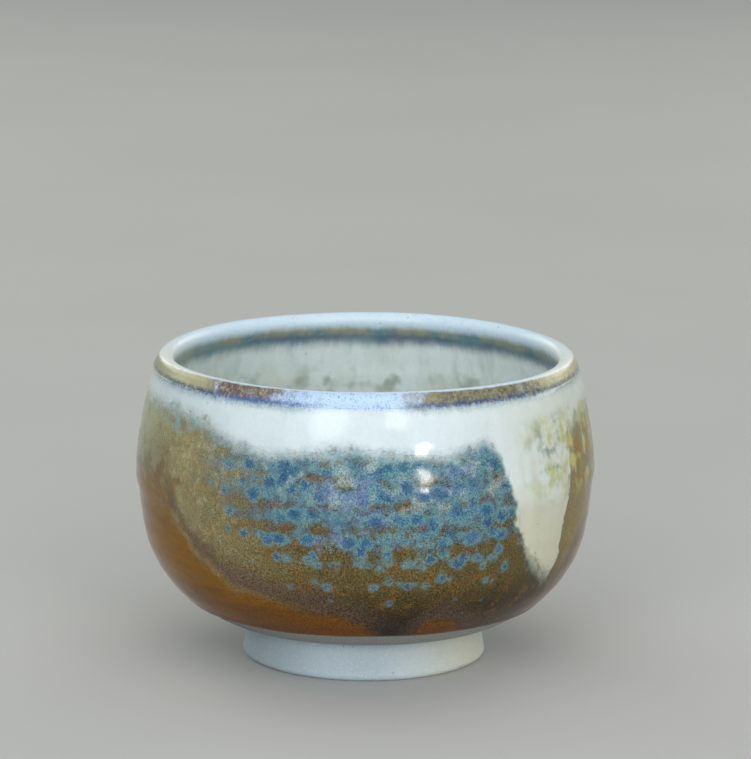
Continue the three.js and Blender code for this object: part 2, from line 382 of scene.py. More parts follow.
def turned_mesh(radii, heights, azimuth, closed=True):
    """Vertices and faces of rows of points turned round the axis.

    A closed outline joins its last row to its first. An open one starts and ends on the
    axis, where its first and last rows shrink to one vertex each.
    """
    rows, columns = radii.shape
    turn = np.radians(azimuth)
    grid = np.stack([radii * np.sin(turn), -radii * np.cos(turn), heights], axis=2)
    index = np.arange(rows * columns).reshape(rows, columns)
    if not closed:
        inner = index[: rows - 2] + 1  # one vertex for the first pole comes first
        vertices = [grid[0].mean(axis=0)]
        vertices += list(grid[1:-1].reshape(-1, 3))
        vertices += [grid[-1].mean(axis=0)]
        index = inner
    else:
        vertices = list(grid.reshape(-1, 3))
    low, high = (index, np.roll(index, -1, axis=0)) if closed else (index[:-1], index[1:])
    quads = np.stack([low, np.roll(low, -1, axis=1), np.roll(high, -1, axis=1), high],
                     axis=2).reshape(-1, 4)
    faces = quads.tolist()
    if not closed:
        first, last = index[0], index[-1]
        end = len(vertices) - 1
        faces += [[0, int(b), int(a)] for a, b in zip(first, np.roll(first, -1))]
        faces += [[end, int(a), int(b)] for a, b in zip(last, np.roll(last, -1))]
    return [tuple(map(float, v)) for v in vertices], faces


def turned_piece(name, outline, sizes, material, node, closed=True, relief=None):
    """A piece turned from one outline, with the waver of the throwing."""
    azimuth = azimuths()
    outline = crisp(outline) if closed else np.vstack(
        [outline[:1], crisp(outline)[1:-1], outline[-1:]])
    radii = np.repeat(outline[:, :1], len(azimuth), axis=1)
    heights = np.repeat(outline[:, 1:], len(azimuth), axis=1)
    radii, heights = thrown(radii, heights, azimuth, sizes)
    if relief is not None:
        radii, heights = relief(radii, heights, azimuth)
    vertices, faces = turned_mesh(radii, heights, azimuth, closed)
    return new_piece(name, vertices, faces, material, node)


def crisp(outline, gap=0.03 * MM):
    """The outline with a point just before and after each corner that stays sharp."""
    points = []
    for before, here, after in zip(np.roll(outline, 1, axis=0), outline,
                                   np.roll(outline, -1, axis=0)):
        back, ahead = before - here, after - here
        far, near = np.linalg.norm(back), np.linalg.norm(ahead)
        if back @ ahead > -0.64 * far * near and min(far, near) > 4 * gap:
            points += [here + back * (gap / far), here, here + ahead * (gap / near)]
        else:
            points.append(here)
    return np.array(points)


def coarse(run):
    """Every few points of a run, with both of its ends, for a side that never shows."""
    skip = max(1, round(COARSE / FINE))
    picked = list(range(0, len(run) - 1, skip)) + [len(run) - 1]
    return run[picked]


# ---------------------------------------------------------------- shader nodes


class Wire:
    """A shader socket that arithmetic can be written with."""

    def __init__(self, graph, socket):
        self.graph = graph
        self.socket = socket

    def joined(self, operation, other, swapped=False):
        pair = (other, self) if swapped else (self, other)
        single = all(one.socket.type == "VALUE" if isinstance(one, Wire)
                     else isinstance(one, (int, float)) for one in pair)
        if single:
            return self.graph.node(
                "ShaderNodeMath", {"operation": operation}, dict(enumerate(pair)))
        wide = [one if isinstance(one, Wire)
                else (one,) * 3 if isinstance(one, (int, float)) else tuple(one)
                for one in pair]
        return self.graph.node(
            "ShaderNodeVectorMath", {"operation": operation}, dict(enumerate(wide)))

    def __add__(self, other):
        return self.joined("ADD", other)

    def __radd__(self, other):
        return self.joined("ADD", other)

    def __sub__(self, other):
        return self.joined("SUBTRACT", other)

    def __rsub__(self, other):
        return self.joined("SUBTRACT", other, swapped=True)

    def __mul__(self, other):
        return self.joined("MULTIPLY", other)

    def __rmul__(self, other):
        return self.joined("MULTIPLY", other)

    def __truediv__(self, other):
        return self.joined("DIVIDE", other)

    def __rtruediv__(self, other):
        return self.joined("DIVIDE", other, swapped=True)

    def __pow__(self, other):
        return self.joined("POWER", other)

    def __neg__(self):
        return self * -1

    def most(self, other):
        return self.joined("MAXIMUM", other)

    def step(self, low, high):
        """0 below low and 1 above high, or the other way round, with a soft change."""
        return self.graph.node(
            "ShaderNodeMapRange", {"interpolation_type": "SMOOTHSTEP"},
            {"Value": self, "From Min": low, "From Max": high})

    def hump(self, low, top, high):
        """1 at top, fading to 0 at low and at high."""
        return self.step(low, top) * self.step(high, top)


class Graph:
    """A material's nodes, with the bowl's own coordinates and patterns."""

    def __init__(self, name):
        self.material = bpy.data.materials.new(name)
        self.material.use_nodes = True
        self.tree = self.material.node_tree
        self.tree.nodes.clear()
        where = self.node("ShaderNodeTexCoord", out="Object")
        self.place = where / MM
        x, y, z = self.parts(self.place)
        self.height = z
        self.azimuth = self.node(
            "ShaderNodeMath", {"operation": "ARCTAN2"}, {0: x, 1: -y}) * math.degrees(1)
        self.radius = (x * x + y * y) ** 0.5
        self.upright = self.node(
            "ShaderNodeCombineXYZ", {}, {"X": x, "Y": y, "Z": z * 0.12})
        self.level = self.node(
            "ShaderNodeCombineXYZ", {}, {"X": x * 0.18, "Y": y * 0.18, "Z": z})

    def node(self, kind, settings=None, inputs=None, out=0):
        """Adds a node, sets it up, feeds its sockets and gives one of its outputs."""
        node = self.tree.nodes.new(kind)
        for key, value in (settings or {}).items():
            if key == "stops":
                self.set_stops(node.color_ramp, value)
            else:
                setattr(node, key, value)
        for key, value in (inputs or {}).items():
            if isinstance(value, Wire):
                self.tree.links.new(value.socket, node.inputs[key])
            else:
                node.inputs[key].default_value = value
        return Wire(self, node.outputs[out]) if len(node.outputs) else node

    @staticmethod
    def set_stops(ramp, stops):
        while len(ramp.elements) < len(stops):
            ramp.elements.new(1)
        for element, (position, value) in zip(ramp.elements, stops):
            element.position = position
            element.color = (value, value, value, 1)

    def parts(self, vector):
        split = self.node("ShaderNodeSeparateXYZ", {}, {0: vector}).socket.node
        return [Wire(self, socket) for socket in split.outputs]

    def around(self, stops, azimuth=None):
        """A value that follows a list of azimuths and values round the bowl."""
        azimuth = self.azimuth if azimuth is None else azimuth
        values = [value for _, value in stops]
        low, span = min(values), (max(values) - min(values)) or 1
        ramp = [((at + 180) / 360, (value - low) / span) for at, value in stops]
        share = self.node(
            "ShaderNodeValToRGB", {"stops": ramp}, {0: (azimuth + 180) * (1 / 360)})
        red = self.node("ShaderNodeSeparateColor", {}, {0: share})
        return red * span + low

    def noise(self, size, detail=2.0, rough=0.5, space=None, shift=0.0):
        """Cloudy noise from -0.5 to 0.5, with features of a size in millimetres."""
        space = self.place if space is None else space
        if shift:
            space = space + shift
        return self.node(
            "ShaderNodeTexNoise", {},
            {"Vector": space, "Scale": 1 / size, "Detail": detail, "Roughness": rough},
        ) - 0.5

    def cells(self, size):
        """Distance to the nearest of a scatter of points, and a random value for it."""
        made = self.node(
            "ShaderNodeTexVoronoi", {}, {"Vector": self.place, "Scale": 1 / size},
            out="Distance")
        shade = Wire(self, made.socket.node.outputs["Color"])
        return made, self.node("ShaderNodeSeparateColor", {}, {0: shade})

    def mix(self, share, first, second):
        """From the first colour to the second as share goes from 0 to 1."""
        return self.node(
            "ShaderNodeMix", {"data_type": "RGBA"},
            {0: share, 6: self.paint(first), 7: self.paint(second)}, out=2)

    @staticmethod
    def paint(value):
        return value if isinstance(value, Wire) else (*value, 1.0)

    def bump(self, height, distance):
        return self.node(
            "ShaderNodeBump", {}, {"Height": height, "Distance": distance})

    def finish(self, base, roughness, normal, **fixed):
        """Ends the material in one Principled shader."""
        shader = self.node(
            "ShaderNodeBsdfPrincipled", {},
            {"Base Color": base, "Roughness": roughness, "Normal": normal, **fixed})
        self.node("ShaderNodeOutputMaterial", {}, {"Surface": shader})
        return self.material


# ---------------------------------------------------------------- finishes


def clay_finish(graph, colours):
    """Bare stoneware: sandy, finely speckled, with the lines of the turning tool, painted
    shade on the shelf and painted light on the right.
    """
    cloud = graph.noise(18, 3)
    grain = graph.noise(0.55, 3, 0.7)
    sand, _ = graph.cells(1.1)
    speck, pick = graph.cells(2.6)
    base = graph.mix((cloud + 0.5).step(0.25, 0.75), colours.clay,
                     toned(colours.clay, 0.88))
    # Painted shade on the downward-facing shelf, with the clay's warm flashing next to the
    # glaze.
    base = graph.mix(graph.height.step(8.6, 11.4) * 0.75, base, colours.clay_shade_and_flashing)
    # Painted light and shade: the clay darker at the left and lighter at the right.
    painted_side_light = graph.around(((-180, 1), (-60, 0.8), (-20, 0.93), (10, 1), (45, 1.1),
                          (120, 1.1), (180, 1)))
    # Painted light: yellower, brighter clay on the right side.
    painted_light_right = graph.azimuth.hump(0, 62, 130) * graph.height.step(10.2, 9.6)
    base = graph.mix(painted_light_right * 0.7, base, colours.clay_painted_light)
    base = base * painted_side_light * (1 + grain * 0.35)
    base = graph.mix(sand.step(0.32, 0.12) * 0.25, base, colours.sand)
    dark = speck.step(0.16, 0.06) * pick.step(0.62, 0.72)
    base = graph.mix(dark * 0.6, base, colours.clay_speck)
    turning = graph.noise(0.9, 2, 0.6, graph.level)
    rough = 0.78 + grain * 0.2
    relief = grain * 0.5 + turning * 0.35 + sand.step(0.3, 0.1) * 0.12
    return graph.finish(base, rough, graph.bump(relief, 0.2 * MM))


def pour_distance(graph):
    """Height in millimetres over the ragged lower edge of the white pour."""
    low, high = bottom_of("outer_glaze") / MM, top_of("outer_glaze") / MM
    sway = graph.noise(6, 2, 0.6, shift=61.0) * 6 + graph.noise(1.2, 2, 0.6) * 0.8
    edge = graph.around([(at, low + (high - low) * share / 100)
                         for at, share in POUR_EDGE], graph.azimuth + sway)
    ragged = graph.noise(4.2, 3, 0.6) * 3.6 + graph.noise(1.1, 2, 0.6) * 1.6
    return graph.height - edge + ragged


def amber_colour(graph, colours, grain):
    """Clear iron glaze, stained along the throwing lines, veiled at the left, with painted
    shade low down.
    """
    # Painted shade: the amber darker low down.
    low = graph.height.step(32, 16)
    amber = graph.mix(low, colours.amber, colours.amber_painted_shade)
    stains = graph.noise(5, 4, 0.65, graph.level)
    fibre = graph.noise(1.1, 3, 0.7, graph.level)
    amber = amber * (1 + stains * 1.1 + fibre * 0.7 + grain * 0.7)
    glow = graph.noise(8, 3, 0.6, shift=71.0).step(0.0, 0.25) * graph.height.step(16, 28)
    amber = graph.mix(glow * 0.5, amber, colours.orange)
    veil = graph.noise(5.5, 3, 0.65, shift=87.0).step(0.0, 0.2) * graph.height.step(30, 44)
    veil = veil * graph.azimuth.step(-40, -56) * graph.azimuth.step(-120, -96)
    return graph.mix(veil * 0.6, amber, (1.5 + grain * 1.5) * colours.mauve)


def olive_colour(graph, colours, grain, left):
    """Clouded iron glaze: olive at the left, brown under the mottling, painted shade low
    down.
    """
    right = graph.around(((-180, 1), (-130, 1), (-105, 0), (-50, 0), (-16, 1), (54, 1),
                          (66, 0.2), (100, 0.2), (125, 1), (180, 1)),
                         graph.azimuth + graph.noise(16, 2) * 30)
    cloud = graph.mix(right, colours.olive, colours.brown)
    plain = right.step(0.9, 0.1)
    blotch, _ = graph.cells(2.4)
    pale = blotch.step(0.5, 0.15) * plain * graph.height.step(38, 50)
    cloud = graph.mix(pale * 0.45, cloud, colours.olive_pale)
    cloud = cloud * (1 + graph.noise(3.4, 2, 0.6, shift=91.0) * plain * 0.9)
    # Warm olive on the right, partly glaze and partly a painted reflection of green
    # surroundings.
    side = graph.around(((-180, 0), (56, 0), (66, 1), (90, 1), (125, 0), (180, 0)))
    cloud = graph.mix(side, cloud, colours.honey_and_reflection)
    # Painted shade: darker low down at the front and the right.
    deep = (graph.height + graph.noise(9, 2) * 8).step(36, 20)
    dark = deep * graph.azimuth.step(-50, 10) * graph.azimuth.step(110, 60)
    cloud = graph.mix(dark, cloud, colours.painted_low_shade)
    # Painted reflection of green surroundings at the far left edge.
    painted_left_reflection = graph.azimuth.step(-54, -72) * left * graph.height.step(46, 58)
    cloud = graph.mix(painted_left_reflection * 0.9, cloud, colours.olive_pale)
    cloud = cloud * (1 + grain * 2.0)
    rust = graph.noise(4.5, 3, 0.65, shift=17.0) + grain * 0.5
    warm = 0.06 + left * graph.height.hump(32, 48, 62) * 0.29 + right * 0.04
    return graph.mix((rust + warm).step(0.12, 0.34) * 0.7, cloud, colours.orange)


def ground_colour(graph, colours, grain):
    """The iron glaze under everything: clear amber low down, clouded olive above."""
    wander = graph.noise(13, 3, 0.55) * 9 + graph.noise(3.6, 3, 0.65) * 4.5
    over = graph.height - graph.around(AMBER_TOP) + wander + grain * 1.2
    left = graph.azimuth.step(-48, -60) * graph.azimuth.step(-130, -100)
    over = over * (1 - left * 0.55)
    cloud = olive_colour(graph, colours, grain, left)
    haze = over.hump(-0.8, 3.2, 10) * (1 - left * 0.5)
    dim = 1 - graph.azimuth.step(-45, 8) * graph.azimuth.step(90, 60) * 0.28
    cloud = graph.mix(haze * 0.85, cloud, dim * (1 + grain * 2.6) * colours.mauve)
    streak = graph.azimuth.hump(57, 67, 86) * graph.height.hump(38, 62, 76)
    lit = (graph.noise(4, 3, 0.6, graph.upright) + 0.1).step(-0.05, 0.2)
    cloud = graph.mix(streak * lit * 0.8, cloud, toned(colours.orange, 1.7))
    # Painted shade: darker low at the front.
    pit = graph.azimuth.hump(-6, 8, 20) * graph.height.step(26, 17)
    cloud = cloud * (1 - pit * 0.68)
    fire = over.hump(-2.6, 0.0, 4.0) * graph.noise(1.3, 3, 0.7).step(0.0, 0.18)
    skin = graph.mix(over.step(-2.2, 2.6), amber_colour(graph, colours, grain), cloud)
    return graph.mix(fire * 0.65, skin, colours.orange)


def mottled_colour(graph, colours, ground, grain):
    """Blue mottles that gather in rows and run together below the pour."""
    spot, pick = graph.cells(4.0)
    tiny, _ = graph.cells(1.9)
    thick = graph.around(BLUE_ROUND)
    drift = graph.noise(12, 2) * 10
    level = graph.height + drift - graph.azimuth.hump(-75, -42, -8) * 9
    dense = level.step(31, 50)
    row = graph.node("ShaderNodeMath", {"operation": "COSINE"},
                     {0: (graph.height - 2 + drift * 0.12) * (2 * math.pi / ROW_PITCH)})
    trail = graph.azimuth.hump(-3, 6, 13) * level.step(12, 22)
    present = (level.step(22, 36) * thick).most(trail * 0.6)
    size = (0.8 + pick * 1.2 + row * 0.6 + dense * 1.1) * present
    fuzz = grain * 2.8 + graph.noise(1.1, 2, 0.65) * 2.2
    share = (spot * 4.0 + fuzz) / size.most(0.05)
    gap = graph.noise(5.5, 3, 0.6, shift=13.0) + graph.noise(2.0, 2, 0.5, graph.level) * 0.6
    gap = (gap - row * 0.07).step(0.05, 0.2)
    body = share.step(1.4, 0.6) * (1 - gap * 0.6)
    blot = graph.mix(share.step(0.95, 0.35), colours.turquoise, colours.sky)
    core = share.step(1.05, 0.1) * graph.noise(7, 2, 0.5, shift=51.0).step(-0.22, 0.05)
    core = core * (grain * 1.4 + 0.72)
    blot = graph.mix(core, blot, colours.blue)
    bloom = graph.noise(11, 2, 0.5, shift=31.0).step(0.04, 0.2)
    blot = graph.mix(bloom * dense * 0.45, blot, colours.violet)
    clouds = graph.noise(3.4, 3, 0.65, shift=8.0) * 1.9
    film = (clouds + grain * 2.4 + row * 0.16 + dense * 1.1 - 0.75).step(-0.2, 0.6)
    tone = graph.mix(graph.noise(4, 2, shift=4.0).step(-0.3, 0.05), colours.turquoise,
                     colours.sky)
    breaks = tiny.step(0.6, 0.2) * gap * level.step(36, 44)
    rust = graph.mix(breaks * thick * 0.55, ground, colours.orange)
    skin = graph.mix(film * thick * (1 - gap * 0.8) * 0.85, rust, tone)
    skin = graph.mix(body * (level.step(26, 42) * 0.25 + 0.68), skin, blot)
    pale = graph.noise(4.2, 1, 0.5, shift=41.0).step(0.0, 0.24) * level.step(46, 58)
    skin = graph.mix(pale * thick * 0.52, skin, (1 + grain) * colours.haze)
    return skin * (1 + grain * thick * 3.4)


def white_colour(graph, colours):
    """Milk-white glaze with faint runs, warmer where it thins out low down."""
    runs = graph.noise(3.2, 2, 0.5, graph.upright)
    low = (graph.height + graph.noise(8, 2) * 8).step(66, 42)
    cream = graph.azimuth.hump(10, 62, 120) * 0.5
    white = graph.mix(low.most(cream), colours.white, colours.white_warm)
    return white * (1 + runs * 0.15 + graph.noise(1.1, 3, 0.7) * 0.13)


def breaking_white(graph, colours, skin):
    """Teal patches where the white thins out on the right shoulder, and yellow-green ones
    that are partly thin white and partly a painted reflection of green surroundings.
    """
    thin = graph.azimuth.step(38, 54) * graph.azimuth.step(94, 72)
    thin = thin * graph.height.step(46, 56) * graph.height.step(74, 68)
    runs = graph.noise(3.0, 2, 0.5, graph.upright)
    # Yellow-green drops, partly thin white and partly a painted reflection of green
    # surroundings.
    moss_and_reflection_drops = graph.noise(4.8, 2, 0.55, shift=63.0) + runs * 0.6
    pools = graph.noise(4.2, 3, 0.55, shift=73.0) - runs * 0.4
    skin = graph.mix((moss_and_reflection_drops + 0.05).step(-0.06, 0.24) * thin * 0.9, skin, colours.moss_and_reflection)
    return graph.mix((pools + 0.02).step(0.0, 0.26) * thin * 0.8, skin, colours.fern)


def lip_colour(graph, colours):
    """White lip with faint lavender streaks and painted highlights at both sides."""
    streaks = graph.noise(2.4, 4, 0.7, shift=47.0)
    lip = graph.mix(streaks.step(0.0, 0.2) * 0.5, colours.lip, colours.rim_pale)
    # Painted highlights on the lip at both sides.
    sides = graph.azimuth.hump(-125, -78, -35) + graph.azimuth.hump(35, 78, 125)
    lip = graph.mix(sides * 0.85, lip, colours.lip_painted_highlight)
    return lip * (1 + graph.noise(0.7, 2, 0.6) * 0.16)


def rim_shade(graph, colours, grain):
    """Outer side of the dipped rim, by azimuth: tan, violet-brown, pale, speckled tan."""
    patch = graph.noise(4, 3, 0.65)
    fine = graph.noise(1.0, 3, 0.75, shift=15.0)
    speck = graph.around(((-180, 0.2), (-50, 0.05), (-44, 0.8), (-16, 0.7), (-8, 0.2),
                          (10, 0.5), (20, 1), (52, 1), (66, 0.2), (180, 0.2)))
    dark = toned(colours.tan, 0.3)
    band = graph.mix((fine + patch * 0.5 + grain * 0.6).step(-0.16, 0.26) * speck,
                     colours.tan, dark)
    plum = graph.around(((-180, 0.1), (-47, 0), (-42, 1), (-20, 0.9), (-10, 0.25),
                         (10, 0.2), (30, 0.3), (60, 0.1), (180, 0.1)))
    patches = graph.noise(1.5, 3, 0.75, shift=5.0) + fine * 0.7
    band = graph.mix((patches + 0.08).step(-0.2, 0.2) * plum * 0.95, band, colours.plum)
    # The tan darker on the right front, and lighter at the far right end as a painted
    # highlight.
    dim = graph.around(((-180, 1), (8, 1), (18, 0.7), (48, 0.75), (66, 1.45), (95, 1.4),
                        (130, 1), (180, 1)))
    band = band * (1 + grain * plum * 2) * dim
    pale = graph.around(((-180, 0), (-46, 0), (-44, 0.45), (-41, 0.12), (-28, 0.3),
                         (-14, 0.7), (-4, 0.9), (4, 0.85), (16, 0.35), (26, 0.1), (43, 0),
                         (46, 0.45), (49, 0), (180, 0)))
    share = pale * 1.6 - 0.6 + patch * 1.6 + fine * 1.6 + grain
    fleck = (fine + grain * 1.5).step(0.05, 0.22)
    clear = graph.mix(fleck * 0.55, colours.rim_pale, colours.rim_blue)
    return graph.mix(share.step(-0.1, 0.5), band, clear)


def poured_colour(graph, colours, skin, grain):
    """The white pour over the skin, with its turquoise fringe and olive tips."""
    over = pour_distance(graph) + grain * 1.5
    fringe = over.hump(-4.2, -0.6, 1.8) * graph.noise(1.9, 3, 0.7).step(-0.16, 0.12)
    skin = graph.mix(fringe * 0.6, skin, (1 + grain) * colours.turquoise)
    skin = graph.mix(over.step(-3.0, 2.8), skin, white_colour(graph, colours))
    dusk = over.hump(-2.0, 0.0, 2.2) * graph.noise(2.4, 3, 0.7, shift=3.0).step(0.02, 0.2)
    skin = graph.mix(dusk * 0.5, skin, colours.brown)
    skin = breaking_white(graph, colours, skin)
    teal = graph.azimuth.hump(-70, -55, -42) * over.hump(-7, -1.5, 2.5)
    spots = graph.noise(3.4, 3, 0.65, shift=23.0).step(-0.06, 0.1)
    return graph.mix(teal * spots * 0.9, skin, toned(colours.turquoise, 1.5))


def rimmed_colour(graph, colours, skin, grain):
    """The dipped rim over the skin: its band, its blue lower edge and the white lip."""
    hair = graph.noise(0.7, 3, 0.7, graph.upright) * 2.0
    drip = hair + graph.noise(2.2, 2, 0.6) * 0.9
    up = graph.height - top_of("outer_glaze") / MM + drip
    blue = graph.around(((-180, 0.5), (-80, 0.5), (-60, 0.9), (-40, 1), (-18, 1),
                         (-10, 0.15), (8, 0.18), (14, 0.9), (40, 0.9), (60, 0.7),
                         (180, 0.5)))
    bright = graph.around(((-180, 0), (-48, 0), (-40, 0.9), (-12, 1), (14, 0.5),
                           (26, 0.1), (60, 0), (180, 0)))
    bright = bright + graph.noise(3, 2, shift=27.0) * 0.9
    edge = graph.mix(bright, colours.rim_navy, colours.rim_blue)
    broken = (graph.noise(2.4, 3, 0.7, shift=37.0) + grain).step(-0.22, 0.04)
    edging = (up + grain * 3).step(1.7, 0.4) * blue * broken
    band = graph.mix(edging, rim_shade(graph, colours, grain), edge)
    crest = graph.radius + graph.noise(3, 3, 0.6) * 0.9
    white = graph.around(((-180, 54.2), (-92, 54.4), (-72, 53.9), (-50, 53.6), (-10, 53.7),
                          (50, 53.7), (70, 53.9), (90, 54.4), (180, 54.2)))
    band = graph.mix((white - crest).step(-0.3, 0.4), band, lip_colour(graph, colours))
    halo = (up + grain * 3).hump(-2.2, -0.2, 0.8) * blue
    tint = graph.mix(graph.noise(2.6, 2, shift=19.0).step(-0.1, 0.1), colours.turquoise,
                     colours.sky)
    skin = graph.mix(halo * 0.5, skin, tint)
    return graph.mix((up + grain * 1.5).step(-0.8, 0.6), skin, band)


def outside_colour(graph, colours):
    """Colour of the whole outside, so that coats melt into each other at their edges."""
    grain = graph.noise(0.42, 3, 0.75)
    ground = ground_colour(graph, colours, grain)
    skin = mottled_colour(graph, colours, ground, grain)
    skin = poured_colour(graph, colours, skin, grain)
    return rimmed_colour(graph, colours, skin, grain)


def inside_colour(graph, colours):
    """Grey-white well with smudges and painted light on the left wall, and the dipped rim's
    tan and teal above it.
    """
    smear = graph.noise(5.5, 3, 0.6, graph.upright)
    spots = graph.noise(6.5, 2, 0.6, shift=9.0)
    base = graph.mix(smear.step(-0.05, 0.25) * 0.3, colours.inside, colours.smudge)
    base = base * (1 - graph.height.step(66, 50) * 0.2)
    left = graph.azimuth.hump(-140, -88, -45)
    # Painted light: the left wall brighter and warmer.
    base = graph.mix(left * 0.6, base, colours.inside_painted_light)
    rows = graph.height.hump(48, 61, 69) * spots.step(0.0, 0.24)
    base = graph.mix(rows * 0.75, base, colours.smudge)
    sheen = graph.noise(14, 2, shift=33.0).step(-0.05, 0.2)
    base = graph.mix(sheen * 0.4, base, colours.white_warm)
    deep = graph.radius.step(24, 6)
    base = graph.mix(deep * 0.35, base, colours.teal)
    base = base * (1 + graph.noise(0.8, 3, 0.7) * 0.16)
    line = top_of("inner_glaze") / MM
    drip = graph.noise(1.6, 2, 0.6, graph.upright) * 1.8 + graph.noise(9, 2) * 2.2
    up = graph.height - line + 0.7 + drip
    warm = graph.noise(9, 3, 0.5, shift=21.0)
    warm = warm + graph.noise(2.0, 3, 0.7, shift=81.0) * 0.6
    brown = toned(colours.tan, 0.85)
    band = graph.mix((warm + 0.02).step(-0.16, 0.2) * 0.9, colours.teal, brown)
    band = graph.mix(left * 0.75, band, colours.straw)
    azure = graph.mix(graph.noise(15, 2, shift=2.0).step(-0.14, 0.08), colours.teal,
                      colours.indigo)
    skin = graph.mix(up.step(-1.2, 1.8), base, band)
    skin = graph.mix(up.hump(-2.8, 0.9, 3.4) * (1 - left * 0.7) * 0.7, skin, azure)
    return graph.mix((graph.height + drip * 0.5).step(line + 2.2, line + 4.4), skin,
                     lip_colour(graph, colours))


def glaze_relief(graph):
    """Slow swell and fine pitting of a melted surface."""
    swell = graph.noise(7, 2, 0.5)
    peel = graph.noise(1.3, 2, 0.5)
    rings = graph.noise(1.6, 2, 0.5, graph.level)
    pits, pick = graph.cells(5.0)
    pit = pits.step(0.09, 0.03) * pick.step(0.6, 0.7)
    return swell * 0.7 + peel * 0.12 + rings * 0.08 - pit * 0.12


def glaze_finish(graph, skin, gloss, index=GLAZE_INDEX):
    """A melted, lightly pitted glaze of a colour."""
    pit, pick = graph.cells(4.0)
    speck = pit.step(0.11, 0.05) * pick.step(0.7, 0.78)
    skin = skin * (1 - speck * 0.25)
    rough = gloss + graph.noise(3, 3, 0.6) * 0.08
    normal = graph.bump(glaze_relief(graph), 0.22 * MM)
    return graph.finish(skin, rough, normal, IOR=index)


def outer_glaze_material(colours, name, gloss, index):
    """A glaze that shows the colours of the outside."""
    graph = Graph(name)
    return glaze_finish(graph, outside_colour(graph, colours), gloss, index)


def rim_material(colours):
    """The rim's glaze: the outside's colours up to the lip and the inside's beyond it."""
    graph = Graph("dipped_rim_glaze")
    outer = outside_colour(graph, colours)
    inner = inside_colour(graph, colours)
    side = graph.radius.step(LIP_LINE + 0.25, LIP_LINE - 0.25)
    return glaze_finish(graph, graph.mix(side, outer, inner), RIM_GLOSS)


# ---------------------------------------------------------------- operators


class BOWL_OT_clay_body(bpy.types.Operator):
    """Thrown and turned clay body with its well, shelf and boss"""

    bl_idname = "bowl.clay_body"
    bl_label = "Clay body"

    def execute(self, context):
        sizes, colours = context.scene.bowl_sizes, context.scene.bowl_colours
        section = Section(sizes)
        foot_top = top_of("foot_ring")
        inner = section.joint_radius - sizes.foot_wall - sizes.foot_lean
        boss = inner - sizes.boss_clearance
        bottom = foot_top - sizes.boss_drop
        across = np.arange(boss - FINE / 2, 0, -FINE / 2)[::-1]
        cone = sizes.nipple_drop * (1 - smooth(0, sizes.nipple_radius, across))
        under = np.stack([across, bottom - cone], axis=1)
        wall = np.array([[boss, bottom + FINE / 4], [boss, foot_top]])
        shelf = np.linspace([section.joint_radius, foot_top],
                            at_depth(section.bare[:1], sizes.coat)[0], 12)[:-1]
        outside = join(section.bare, coarse(section.coated), coarse(section.rim_out))
        inside = join(coarse(section.well), coarse(section.rim_in))
        outline = np.vstack([
            [[0, bottom - sizes.nipple_drop]], under, wall, shelf,
            at_depth(outside, sizes.coat + TINY), section.cap(section.lip_radius, 6),
            inside[::-1, :2]])

        def spiral(radii, heights, azimuth):
            """Groove that the turning tool leaves under the bowl."""
            turn = np.radians(azimuth)
            groove = np.sin(2 * math.pi * radii / (2.3 * MM) - turn)
            underside = (heights < foot_top - 0.1 * MM) * smooth(MM, 3 * MM, radii)
            return radii, heights + 0.07 * MM * groove * underside

        turned_piece("clay_bowl", outline, sizes, clay_finish(Graph("bare_clay"), colours),
                     "clay_body", closed=False, relief=spiral)
        return {"FINISHED"}


class BOWL_OT_foot_ring(bpy.types.Operator):
    """Unglazed foot ring with rounded edges"""

    bl_idname = "bowl.foot_ring"
    bl_label = "Foot ring"

    def execute(self, context):
        sizes, colours = context.scene.bowl_sizes, context.scene.bowl_colours
        outer = radius_of("foot_ring")
        top = top_of("foot_ring")
        joint = outer - sizes.foot_flare
        inner = outer - sizes.foot_wall
        quarter = math.pi / 2
        step = FINE / 3
        flat = np.linspace([inner + sizes.foot_inner_round, 0],
                           [outer - sizes.foot_round, 0], 12)
        heel = arc_run((outer - sizes.foot_round, sizes.foot_round), sizes.foot_round,
                       -quarter, 0, step)[1:, :2]
        rise = np.linspace(0, 1, 20)[1:, None]
        start, end = np.array([outer, sizes.foot_round]), np.array([joint, top])
        flank = start + (end - start) * rise
        flank[:, 0] -= 0.12 * MM * np.sin(math.pi * rise[:, 0])
        shoulder = np.linspace([joint, top], [inner - sizes.foot_lean, top], 8)[1:]
        back = np.linspace([inner - sizes.foot_lean, top],
                           [inner, sizes.foot_inner_round], 14)[1:]
        toe = arc_run((inner + sizes.foot_inner_round, sizes.foot_inner_round),
                      sizes.foot_inner_round, 2 * quarter, 3 * quarter, step)[1:-1, :2]
        outline = np.vstack([flat, heel, flank, shoulder, back, toe])

        def marks(radii, heights, azimuth):
            """Slow waver of the ring and the lines left by wiping it round."""
            turn = np.radians(azimuth)
            lift = np.clip(heights / top, 0, 1)
            wobble = 0.16 * MM * np.sin(2 * turn + 1.1) + 0.07 * MM * np.sin(7 * turn)
            lines = 0.035 * MM * np.sin(2 * math.pi * heights / (1.5 * MM) + turn)
            return radii + (wobble + lines) * np.sin(math.pi * lift), heights

        turned_piece("foot_ring_piece", outline, sizes,
                     clay_finish(Graph("foot_clay"), colours), "foot_ring",
                     relief=marks)
        return {"FINISHED"}


